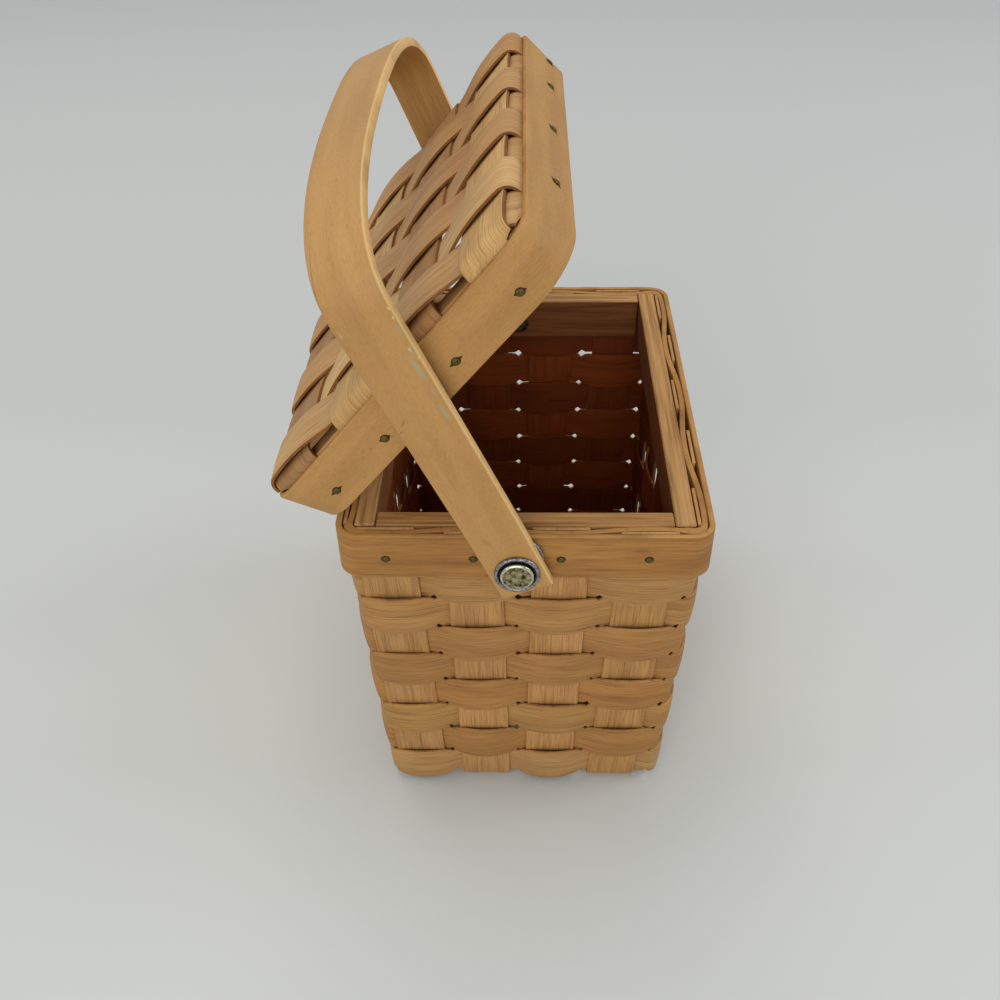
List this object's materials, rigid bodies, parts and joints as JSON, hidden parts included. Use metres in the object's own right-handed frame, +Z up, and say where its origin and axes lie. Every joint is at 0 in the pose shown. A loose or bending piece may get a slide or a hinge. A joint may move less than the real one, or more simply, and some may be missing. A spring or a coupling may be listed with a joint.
{
  "type": "pie basket",
  "caption": "Small rectangular basket of woven wood splints with a bent-wood rim, a hinged woven lid tipped open and a flat bent-wood swing handle.",
  "frame": {"origin": "on the underside of the woven base, below the middle of the rim's opening", "axes": "+Z up; +Y from the near short side to the far one, along the basket's length; +X to the right, away from the lid's hinges"},
  "size_m": [0.1435, 0.1852, 0.2562],
  "materials": {
    "bent_wood": "bare bent wood, satin",
    "sawn_wood": "bare sawn wood, matte",
    "stake_wood": "bare split wood, matte",
    "weaver_wood": "bare split wood, matte",
    "lid_wood": "bare split wood, matte",
    "handle_wood": "worn bent wood, satin",
    "rivet_brass": "dull, worn",
    "washer_zinc": "dull zinc plate",
    "nail_steel": "dark and tarnished",
    "hinge_steel": "dull brass plate"
  },
  "bodies": {
    "basket": {"front_stake_1": "stake_wood", "front_stake_2": "stake_wood", "front_stake_3": "stake_wood", "front_stake_4": "stake_wood", "side_stake_1": "stake_wood", "side_stake_2": "stake_wood", "side_stake_3": "stake_wood", "side_stake_4": "stake_wood", "side_stake_5": "stake_wood", "rim_weaver": "weaver_wood", "weaver_1": "weaver_wood", "weaver_2": "weaver_wood", "weaver_3": "weaver_wood", "weaver_4": "weaver_wood", "weaver_5": "weaver_wood", "weaver_6": "weaver_wood", "weaver_7": "weaver_wood", "weaver_8": "weaver_wood", "rim_band": "bent_wood", "rim_left_strip": "sawn_wood", "rim_right_strip": "sawn_wood", "rim_front_strip": "sawn_wood", "rim_back_strip": "sawn_wood", "rim_nail_1": "nail_steel", "rim_nail_2": "nail_steel", "rim_nail_3": "nail_steel", "rim_nail_4": "nail_steel", "front_rivet": "rivet_brass", "back_rivet": "rivet_brass", "front_inner_washer": "washer_zinc", "front_outer_washer": "washer_zinc", "back_inner_washer": "washer_zinc", "back_outer_washer": "washer_zinc", "hinge_1_rim_leaf": "hinge_steel", "hinge_1_pin": "hinge_steel", "hinge_2_rim_leaf": "hinge_steel", "hinge_2_pin": "hinge_steel"},
    "lid": {"lid_band": "bent_wood", "lid_left_strip": "sawn_wood", "lid_right_strip": "sawn_wood", "lid_front_strip": "sawn_wood", "lid_back_strip": "sawn_wood", "lid_splint_1": "lid_wood", "lid_splint_2": "lid_wood", "lid_splint_3": "lid_wood", "lid_splint_4": "lid_wood", "lid_cross_1": "lid_wood", "lid_cross_2": "lid_wood", "lid_cross_3": "lid_wood", "lid_cross_4": "lid_wood", "lid_cross_5": "lid_wood", "lid_cross_6": "lid_wood", "lid_cross_7": "lid_wood", "lid_cross_8": "lid_wood", "hinge_1_lid_leaf": "hinge_steel", "hinge_2_lid_leaf": "hinge_steel"},
    "handle": {"handle": "handle_wood"}
  },
  "joints": [
    {"name": "lid_hinge", "type": "hinge", "parent": "basket", "child": "lid", "pos_m": [-0.0643, 0, 0.1385], "axis": [0, -1, 0], "range_deg": [-50.5, 10]},
    {"name": "handle_swing", "type": "hinge", "parent": "basket", "child": "handle", "pos_m": [-0.0025, 0, 0.1304], "axis": [0, -1, 0], "range_deg": [-168, 122]}
  ]
}
